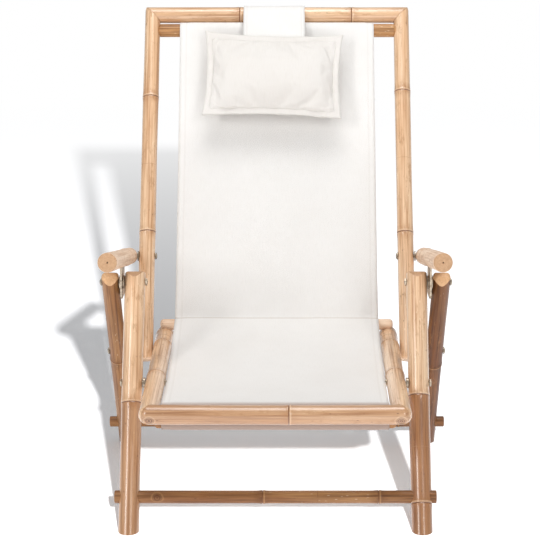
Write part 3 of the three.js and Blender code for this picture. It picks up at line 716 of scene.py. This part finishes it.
def woven(name, light, shade, thread=0.0009, hem=None, half_width=0.0, seam=None, painted_shade_from=None):
    """Plain weave stitched at hem and seam; painted shade in their dips and on the rolled end."""
    g = Graph(name, light)
    uv = g.add("ShaderNodeUVMap", uv_map="cloth").outputs["UV"]
    parts = g.add("ShaderNodeSeparateXYZ", {"Vector": uv}).outputs
    u, v = parts["X"], parts["Y"]
    weave = g.times(g.wave(u, thread), g.wave(v, thread))
    slub = g.noise(g.stretched(uv, (900, 60, 1)), 1, 2)
    clouds = g.noise(uv, 7, 4, 0.6)
    g.lay(g.ramp(clouds, 0.35, 0.7, 0, 0.3), shade)
    g.lay(g.ramp(slub, 0.5, 0.8, 0, 0.35), shade)
    g.lay(g.ramp(weave, -1, 1, 0.18, 0), shade)
    height = g.maths("ADD", g.times(weave, 0.5), g.times(slub, 0.4))
    if hem:
        away, row = g.maths("ABSOLUTE", u), half_width - hem
        dash = g.ramp(g.wave(v, stitch_length), -0.5, -0.2)
        stitch = g.times(g.line(away, row, 0.0004, 0.0009), dash)
        groove_and_shade = g.line(away, row, 0.0006, 0.0022)
        # Painted shade: the stitch row's dip is darkened towards the shade colour.
        g.lay(g.times(groove_and_shade, 0.35), shade)
        height = g.maths("SUBTRACT", height, g.times(groove_and_shade, 1.2))
        height = g.maths("ADD", height, g.times(stitch, 1.4))
    if painted_shade_from:
        # Painted shade: from the given mark on, the cloth rolled under the front rail is darkened.
        g.lay(g.ramp(v, painted_shade_from, painted_shade_from + 0.02, 0, 0.9), tint(162, 136, 121))
    if seam:
        fold = g.line(v, seam, 0.0006, 0.0022)
        # Painted shade: the seam's fold is darkened, next to its dip in the bump.
        g.lay(g.times(fold, 0.6), tint(196, 184, 172))
        height = g.maths("SUBTRACT", height, g.times(fold, 1.2))
    return g.finish(0.9, height, 0.0004, 0.45, Sheen_Weight=0.1, Sheen_Roughness=0.5)


sling_half, sling_hem = 0.1755, 0.0125
band_half, band_hem = 0.055, 0.0065
band_cloth = woven("band canvas", tint(234, 232, 229), tint(218, 214, 208), hem=0.006,
                   half_width=band_half)
pillow_cloth = woven("pillow cotton", tint(227, 223, 218), tint(212, 205, 197), thread=0.0007)

# %% [markdown]
# The sling is one length of canvas. In the side view it starts under the rod at the top, goes
# up behind and over it, runs down the back with a slight sag, passes over the rear rod into the
# seat, tucks behind the front rail and ends wrapped round the front rod. A route of points in
# the side view is laid first, and then a flat grid is bent along it.


# %% Route of the sling
def side_arc(centre, radius, start, stop, steps):
    """Points of the side view round a rod; angles in degrees from +Y towards +Z."""
    points = []
    for i in range(steps + 1):
        a = math.radians(start + (stop - start) * i / steps)
        points.append(centre + Vector((0, math.cos(a), math.sin(a))) * radius)
    return points


def sagging(start, end, sag, steps):
    """Points between two places on a slack line that hangs away from the sitter."""
    run = (end - start).normalized()
    hang = Vector((0, -run.z, run.y))
    shares = [i / steps for i in range(1, steps)]
    return [start.lerp(end, share) + hang * (sag * 4 * share * (1 - share)) for share in shares]


def runs(points):
    """How far along a route each of its points lies."""
    lengths = [0.0]
    for a, b in zip(points, points[1:]):
        lengths.append(lengths[-1] + (b - a).length)
    return lengths


def evenly(points, step):
    """The same route with its points a fixed distance apart."""
    lengths = runs(points)
    count = max(2, round(lengths[-1] / step))
    spots, k = [], 0
    for i in range(count + 1):
        want = lengths[-1] * i / count
        while k < len(lengths) - 2 and lengths[k + 1] < want:
            k += 1
        share = (want - lengths[k]) / max(lengths[k + 1] - lengths[k], 1e-9)
        spots.append(points[k].lerp(points[k + 1], min(1, share)))
    return spots, lengths[-1]


top_rod, rear_rod, front_rod = [node_ends(name)[0] * Vector((0, 1, 1)) for name in rods]
top_radius, rear_radius, front_rod_radius = [entry[1] for entry in rods.values()]
leg_angle = math.degrees(math.atan2(leg_up.z, leg_up.y))
cloth_half, rod_gap, top_gap, rail_gap = 0.0009, 0.0009, 0.0012, 0.0022
back_sag, seat_sag = 0.006, 0.016
top_wrap = side_arc(top_rod, top_radius + top_gap + cloth_half, leg_angle - 150,
                    leg_angle + 90, 24)
rear_wrap = side_arc(rear_rod, rear_radius + rod_gap + cloth_half, 72, 100, 5)
tuck = rail_front + rail_back * (front_radius + rail_gap) + rail_up * 0.0084
front_wrap = side_arc(front_rod, front_rod_radius + rod_gap + cloth_half, 178, 400, 16)
down_back = sagging(top_wrap[-1], rear_wrap[0], back_sag, 40)
down_seat = sagging(rear_wrap[-1], tuck, seat_sag, 24)
route, sling_length = evenly(
    top_wrap + down_back + rear_wrap + down_seat + [tuck] + front_wrap, 0.006)
bend_reach = 0.23
seam_at = min(range(len(route)), key=lambda i: (route[i] - rear_wrap[2]).length)
split_at = min(range(seam_at), key=lambda i: abs((route[i] - back_bolt).length - bend_reach))
print("sling length", round(sling_length, 3), "rows", len(route), "seam row", seam_at,
      "split row", split_at)

# %% [markdown]
# The flat cloth is a grid from one operator. Bending it is a matter of carrying each vertex to
# the route: its second coordinate says how far along, its first how far across. Soft wrinkles
# are long noise that lies along the pull of the cloth, strongest below the top rod and near the
# crease, and the hems are a hair thicker because the edge is folded over.


# %% Lay the sling
def wrinkle(u, s):
    """How far the cloth stands off its smooth shape at u across and s along, in metres."""
    pull = noise.noise(Vector((u * 14, s * 2.2, 0.4))) * 0.6
    pull += noise.noise(Vector((u * 30, s * 5, 3.1))) * 0.25
    drag = noise.noise(Vector((u * 9 + s * 7, s * 9 - u * 5, 8.3))) * 0.35
    return 0.0014 * (pull + drag)


def laid_cloth(spots, half_width, step, lift, widen=None, edge_wave=0.0008):
    """A grid bent along a route; lift(u, s) moves it off the route along its normal."""
    rows, columns = len(spots) - 1, max(2, round(2 * half_width / step))
    bm = bmesh.new()
    bmesh.ops.create_grid(bm, x_segments=columns, y_segments=rows, size=0.5)
    uv = bm.loops.layers.uv.new("cloth")
    run = runs(spots)
    normals = []
    for i in range(rows + 1):
        ahead = (spots[min(i + 1, rows)] - spots[max(i - 1, 0)]).normalized()
        normals.append(Vector((0, -ahead.z, ahead.y)))
    for v in bm.verts:
        row = round((v.co.y + 0.5) * rows)
        s = run[row]
        u = v.co.x * 2 * half_width
        for loop in v.link_loops:
            loop[uv].uv = (u, s)
        wave = edge_wave * noise.noise(Vector((s * 9, 1.7 if u > 0 else 5.2, 0)))
        wave *= (abs(u) / half_width) ** 3
        out = u * (widen(s) if widen else 1.0) + math.copysign(wave, u)
        v.co = spots[row] + across * out + normals[row] * lift(u, s)
    bmesh.ops.recalc_face_normals(bm, faces=bm.faces)
    return smooth(bm)


def rise(distance, width):
    """0 up to a place, and 1 from a width past it on."""
    return max(0.0, min(1.0, distance / width))


wrap_end = runs(top_wrap)[-1]
seam_run = runs(route)[seam_at]
tuck_run = seam_run + runs(down_seat)[-1]


def sling_lift(u, s):
    """Wrinkles that fade where the cloth lies on a rod, a thicker hem and the sewn crease."""
    calm = min(1.0, rise(abs(s - seam_run), 0.02) + 0.25)
    free = rise(s - wrap_end, 0.05) * rise(tuck_run - s, 0.04)
    strength = 1 + 1.3 * hill(s - wrap_end, 0.09) + 0.8 * hill(s - seam_run, 0.05)
    hem = 0.0005 if abs(u) > sling_half - sling_hem else 0.0
    seam = 0.0011 * hill(s - seam_run, 0.0022)
    return wrinkle(u, s) * calm * free * strength + hem + seam


sling = laid_cloth(route, sling_half, 0.006, sling_lift,
                   lambda s: 0.995 + 0.013 * min(1.0, s / seam_run))
print("sling vertices", len(sling.verts))

# %% [markdown]
# The top of the sling moves with the back frame and the seat part with the seat rails. Between
# the rear rod and a hand's length above it the cloth bends from one frame to the other, as
# slack canvas does when the chair folds. Solidify gives the weave its thickness last.


# %% Hang the sling
def thicken(obj, thickness):
    wall = obj.modifiers.new("weave thickness", "SOLIDIFY")
    wall.thickness, wall.offset, wall.use_even_offset = thickness, 0.0, True


# The last part of the sling, rolled under the front rail, is darkened by painted shade.
canvas = woven("canvas", tint(236, 234, 231), tint(222, 218, 213), hem=0.0115,
               half_width=sling_half, seam=seam_run, painted_shade_from=tuck_run + 0.012)
sling_obj = piece("sling", sling, None, "canvas", [canvas], "canvas_back", "canvas_seat")
thicken(sling_obj, 0.0017)
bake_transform(sling_obj, "seat_frame", "back_frame", start=tuple(route[seam_at]),
         end=tuple(route[split_at]))

# %% [markdown]
# The head pillow is a small bag of cotton with a flat sewn border. A cloth simulation makes it
# look stuffed: a low blank with drawn-in sides is remeshed into even cells, its seam is pinned,
# and air blows the slack cloth up, so it puckers along the seam by itself. A cap keeps every
# point near where it started.


# %% Blow up the pillow
pillow_low, pillow_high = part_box("pillow")
pillow_drop, pillow_aside, pillow_lean = 0.0145, 0.007, math.radians(-1.7)
pillow_middle = (pillow_low + pillow_high) / 2 - leg_up * pillow_drop - across * pillow_aside
upright = Matrix((across, leg_up, leg_front)).transposed().to_4x4()
pillow_turn = upright @ Matrix.Rotation(pillow_lean, 4, "Z")
border, draw_in = 0.0095, 0.0065
pillow_half = Vector((0.1235, 0.081))
core_half = pillow_half - Vector((border, border))
blank_rise, core_rise = 0.0175, 0.021


def drawn_side(half, along):
    """Where a drawn-in side runs; along goes from -1 to 1 between its corners."""
    return half - draw_in * (1 - along * along)


def stuffed_block(half_x, half_y, half_z, seam=0.0016):
    """A pillow blank: a cube whose sides draw in and whose faces swell, in its own frame."""
    bm = bmesh.new()
    bmesh.ops.create_cube(bm, size=2)
    bmesh.ops.subdivide_edges(bm, edges=bm.edges[:], cuts=31, use_grid_fill=True)
    for v in bm.verts:
        u, w, n = v.co
        full = max(0.0, 1 - abs(u) ** 5) ** 0.5 * max(0.0, 1 - abs(w) ** 5) ** 0.5
        v.co = Vector((u * drawn_side(half_x, w), w * drawn_side(half_y, u),
                       n * (seam + (half_z - seam) * full)))
    return bm


def edge_share(place):
    """How near a point of the pillow is to its drawn-in seam: 1 on the seam, 0 in the middle."""
    u, w = place.x / core_half.x, place.y / core_half.y
    return max(abs(place.x) / drawn_side(core_half.x, w),
               abs(place.y) / drawn_side(core_half.y, u))


def shaped(obj):
    """A new mesh of an object as its modifiers leave it."""
    ready = obj.evaluated_get(bpy.context.evaluated_depsgraph_get())
    return bpy.data.meshes.new_from_object(ready)


def simulated(bm, frames=20, pressure=4.0, cap=0.012, voxel=0.0045, pinned=0.965):
    """Blow a closed mesh up with its seam pinned, and hold each point near its start."""
    blank = solid("blank", bm)
    bpy.context.view_layer.objects.active = blank
    remesh = blank.modifiers.new("even cells", "REMESH")
    remesh.mode, remesh.voxel_size = "VOXEL", voxel
    bpy.context.view_layer.update()
    even = shaped(blank)
    blank.modifiers.clear()
    blank.data = even
    start = [v.co.copy() for v in even.vertices]
    seam = blank.vertex_groups.new(name="seam")
    seam.add([i for i, co in enumerate(start) if edge_share(co) > pinned], 1.0, "REPLACE")
    cloth = blank.modifiers.new("stuffing", "CLOTH")
    cloth.settings.vertex_group_mass = "seam"
    cloth.settings.use_pressure = True
    cloth.settings.uniform_pressure_force = pressure
    cloth.settings.shrink_min = -0.07
    cloth.settings.effector_weights.gravity = 0
    cloth.settings.quality = 8
    for number in range(1, frames + 1):
        scene.frame_set(number)
    blown = shaped(blank)
    scene.frame_set(1)
    furthest = 0.0
    for vertex, home in zip(blown.vertices, start):
        move = vertex.co - home
        furthest = max(furthest, move.length)
        if move.length > cap:
            vertex.co = home + move * (cap / move.length)
    result = bmesh.new()
    result.from_mesh(blown)
    bpy.data.objects.remove(blank)
    print("cloth moved up to", round(furthest * 1000, 1), "mm, cells", len(result.faces))
    return result


blank = stuffed_block(core_half.x, core_half.y, blank_rise)
core = simulated(blank)

# %% [markdown]
# The remesh has no UV map, so the weave gets one from the pillow's own face: across and up.
# The border is a flat frame of cloth that starts inside the core's seam. It is drawn in
# between the corners like the core, and waves a little, as it does in any pillow that has
# been washed.


# %% Finish the pillow
def settle_core(bm):
    """Keep the stuffed core inside its room."""
    top = max(abs(v.co.z) for v in bm.verts)
    squeeze = min(1.0, core_rise / top)
    for v in bm.verts:
        soft = 0.0008 * noise.noise(Vector((v.co.x * 18, v.co.y * 18, 6.0 + v.co.z * 9)))
        v.co.z = v.co.z * squeeze + math.copysign(1, v.co.z) * soft * min(1, abs(v.co.z) / 0.004)
    print("pillow half thickness", round(top * squeeze, 4))
    return bm


def cloth_map(bm):
    """Lay the weave on a part of the pillow from its front."""
    uv = bm.loops.layers.uv.new("cloth")
    for face in bm.faces:
        for loop in face.loops:
            loop[uv].uv = (loop.vert.co.x, loop.vert.co.y)
    return bm


def border_frame(half_x, half_y, width, thickness, overlap=0.003):
    """A flat frame of cloth, wavy along its edge, thick enough to be two layers."""
    bm = bmesh.new()
    bmesh.ops.create_grid(bm, x_segments=64, y_segments=48, size=1)
    inner_x, inner_y = 1 - (width + overlap) / half_x, 1 - (width + overlap) / half_y
    hole = [f for f in bm.faces if abs(f.calc_center_median().x) < inner_x
            and abs(f.calc_center_median().y) < inner_y]
    bmesh.ops.delete(bm, geom=hole, context="FACES")
    for v in bm.verts:
        u, w = v.co.x, v.co.y
        ripple = noise.noise(Vector((u * 4, w * 4, 2.0))) * 0.0024
        ripple += noise.noise(Vector((u * 11, w * 11, 4.0))) * 0.0012
        curl = 0.0035 * (abs(u) * abs(w)) ** 8
        side_x = drawn_side(half_x, w) + 0.0009 * noise.noise(Vector((w * 7, 1, u)))
        side_y = drawn_side(half_y, u) + 0.0009 * noise.noise(Vector((u * 8, 3, w)))
        v.co = Vector((u * side_x, w * side_y, ripple * max(abs(u), abs(w)) ** 8 + curl))
    bmesh.ops.recalc_face_normals(bm, faces=bm.faces)
    bmesh.ops.solidify(bm, geom=bm.faces[:], thickness=thickness)
    bmesh.ops.recalc_face_normals(bm, faces=bm.faces)
    return bm


core = cloth_map(settle_core(core))
frill = cloth_map(border_frame(pillow_half.x, pillow_half.y, border, 0.0022))
hung = Matrix.Translation(pillow_middle) @ pillow_turn
for part in (core, frill):
    bmesh.ops.transform(part, matrix=hung, verts=part.verts)
    smooth(part)
pillow = piece("pillow_core", core, "back_frame", "pillow_cloth", [pillow_cloth], "pillow")
round_cells = pillow.modifiers.new("round cells", "SUBSURF")
round_cells.levels = round_cells.render_levels = 1
pillow_border = piece("pillow_border", frill, "back_frame", "pillow_cloth", [pillow_cloth])

# %% [markdown]
# A band of the same canvas hangs the pillow over the top rail: it is sewn to the pillow's top
# edge, goes over the rail and hangs down behind it.

# %% Pillow band
band_gap, band_tail = 0.0006, 0.09
loop_radius = frame_radius + band_gap + cloth_half
band_loop = side_arc(stile_top - across * 0.005, loop_radius, leg_angle + 90, leg_angle - 90, 18)
band_start = pillow_middle + across * 0.002 + leg_up * (pillow_half.y - 0.0085)
band_end = band_loop[-1] - leg_up * band_tail + leg_front * 0.005
band_route, band_length = evenly([band_start] + band_loop + [band_end], 0.005)


def band_lift(u, s):
    """A soft unevenness that only lifts the band, and a thicker hem."""
    soft = noise.noise(Vector((u * 22 + s * 20, s * 16, 5.5))) * 0.0011
    hem = 0.0004 if abs(u) > band_half - band_hem else 0.0
    return abs(soft) * min(1.0, s / 0.02) + hem


band = laid_cloth(band_route, band_half, 0.005, band_lift)
band_obj = piece("pillow_band_cloth", band, "back_frame", "canvas", [band_cloth], "pillow_band")
thicken(band_obj, 0.0016)
print("band length", round(band_length, 3))

# %% [markdown]
# The photograph was taken with a long lens, a little above the chair and square to it. The
# lens, height and tilt come from fitting the known sizes of the chair to its picture, and the
# small shift only follows the picture's framing.

# %% Camera
picture_px, focal_px, shift_px, tilt = 540, 1747.92, 16.9, 0.2312
camera_data = bpy.data.cameras.new("camera")
camera_data.sensor_width = 36
camera_data.lens = focal_px / picture_px * 36
camera_data.shift_x = -shift_px / picture_px
camera_data.clip_end = 100
camera = linked("camera", camera_data)
camera.location = (0.018, -2.885, 1.0315)
camera.rotation_euler = (math.pi / 2 - tilt, 0, 0)
scene.camera = camera
print("lens", round(camera_data.lens, 1), "mm")

# %% [markdown]
# The studio is a wide pale floor with no wall. The chair stands between soft boxes: one on the
# left, one on the right and a large one overhead, and each leaves its own streak on the
# varnish. A low lamp in front of the chair throws the long shadow to the back left, and it is
# linked to the floor alone. The camera sees floor and world brighter, so the background is white.


# %% Floor
def pale_floor(glow):
    """A floor that the camera sees brighter by a glow, and white far away."""
    g = Graph("pale floor", tint(246, 246, 248))
    g.finish(0.9)
    far = g.ramp(g.reach(g.add("ShaderNodeTexCoord").outputs["Object"]), 0.9, 4.8)
    seen = g.add("ShaderNodeLightPath").outputs["Is Camera Ray"]

    def white(strength):
        return g.add("ShaderNodeEmission", {
            "Color": (1, 1, 1, 1), "Strength": strength}).outputs[0]

    def either(share, first, second):
        return g.add("ShaderNodeMixShader", {0: share, 1: first, 2: second}).outputs[0]

    plain = g.shader.outputs[0]
    bright = g.add("ShaderNodeAddShader", {0: plain, 1: white(glow)}).outputs[0]
    fade = either(g.times(far, seen), either(seen, plain, bright), white(1.0))
    g.feed(g.nodes["Material Output"].inputs["Surface"], fade)
    return g.owner


bm = bmesh.new()
bmesh.ops.create_grid(bm, x_segments=1, y_segments=1, size=30)
floor = solid("floor", bm, [pale_floor(0.16)])

# %% [markdown]
# The lamps are kept apart by light groups. A group that takes the floor in makes a lamp light
# nothing else, and a group that leaves it out makes a lamp light all but the floor.


# %% Lamps and world
def only_floor(kind):
    """A light group that takes the floor in or leaves it out."""
    group = bpy.data.collections.new(f"floor {kind}")
    group.objects.link(floor)
    group.collection_objects[0].light_linking.link_state = kind
    return group


with_floor, without_floor = only_floor("INCLUDE"), only_floor("EXCLUDE")


def soft_box(name, place, aim, width, height, power):
    data = bpy.data.lights.new(name, "AREA")
    data.shape, data.size, data.size_y, data.energy = "RECTANGLE", width, height, power
    obj = linked(name, data)
    obj.location = place
    obj.rotation_euler = (Vector(aim) - Vector(place)).to_track_quat("-Z", "Y").to_euler()
    obj.light_linking.receiver_collection = without_floor


soft_box("left soft box", (-1.6, -1.9, 1.5), (0, 0, 0.5), 0.35, 1.2, 20)
soft_box("right soft box", (1.3, -3.0, 1.6), (0, 0, 0.5), 0.3, 1.2, 20)
soft_box("overhead soft box", (0.1, -0.2, 2.8), (0, -0.05, 0.3), 1.8, 1.2, 37)
low = bpy.data.lights.new("low lamp", "POINT")
low.shadow_soft_size, low.energy = 0.06, 104
low.use_nodes = True
nodes, links = low.node_tree.nodes, low.node_tree.links
fall = nodes.new("ShaderNodeLightFalloff")
fall.inputs["Strength"].default_value = 1.0
links.new(fall.outputs["Constant"], nodes["Emission"].inputs["Strength"])
low_lamp = linked("low lamp", low)
low_lamp.location = (0.55, -4.48, 1.95)
low_lamp.light_linking.receiver_collection = with_floor
room = Graph("pale room", store=bpy.data.worlds)
dim, white = room.nodes["Background"], room.add("ShaderNodeBackground", {"Color": (1, 1, 1, 1)})
room.feed(dim.inputs["Color"], (0.96, 0.98, 1, 1))
room.feed(dim.inputs["Strength"], 0.33)
seen = room.add("ShaderNodeLightPath").outputs["Is Camera Ray"]
choose = room.add("ShaderNodeMixShader", {0: seen, 1: dim.outputs[0], 2: white.outputs[0]})
room.feed(room.nodes["World Output"].inputs["Surface"], choose.outputs[0])
scene.world = room.owner
scene.view_settings.view_transform = "Standard"
print("lamps", [lamp.name for lamp in bpy.data.lights])
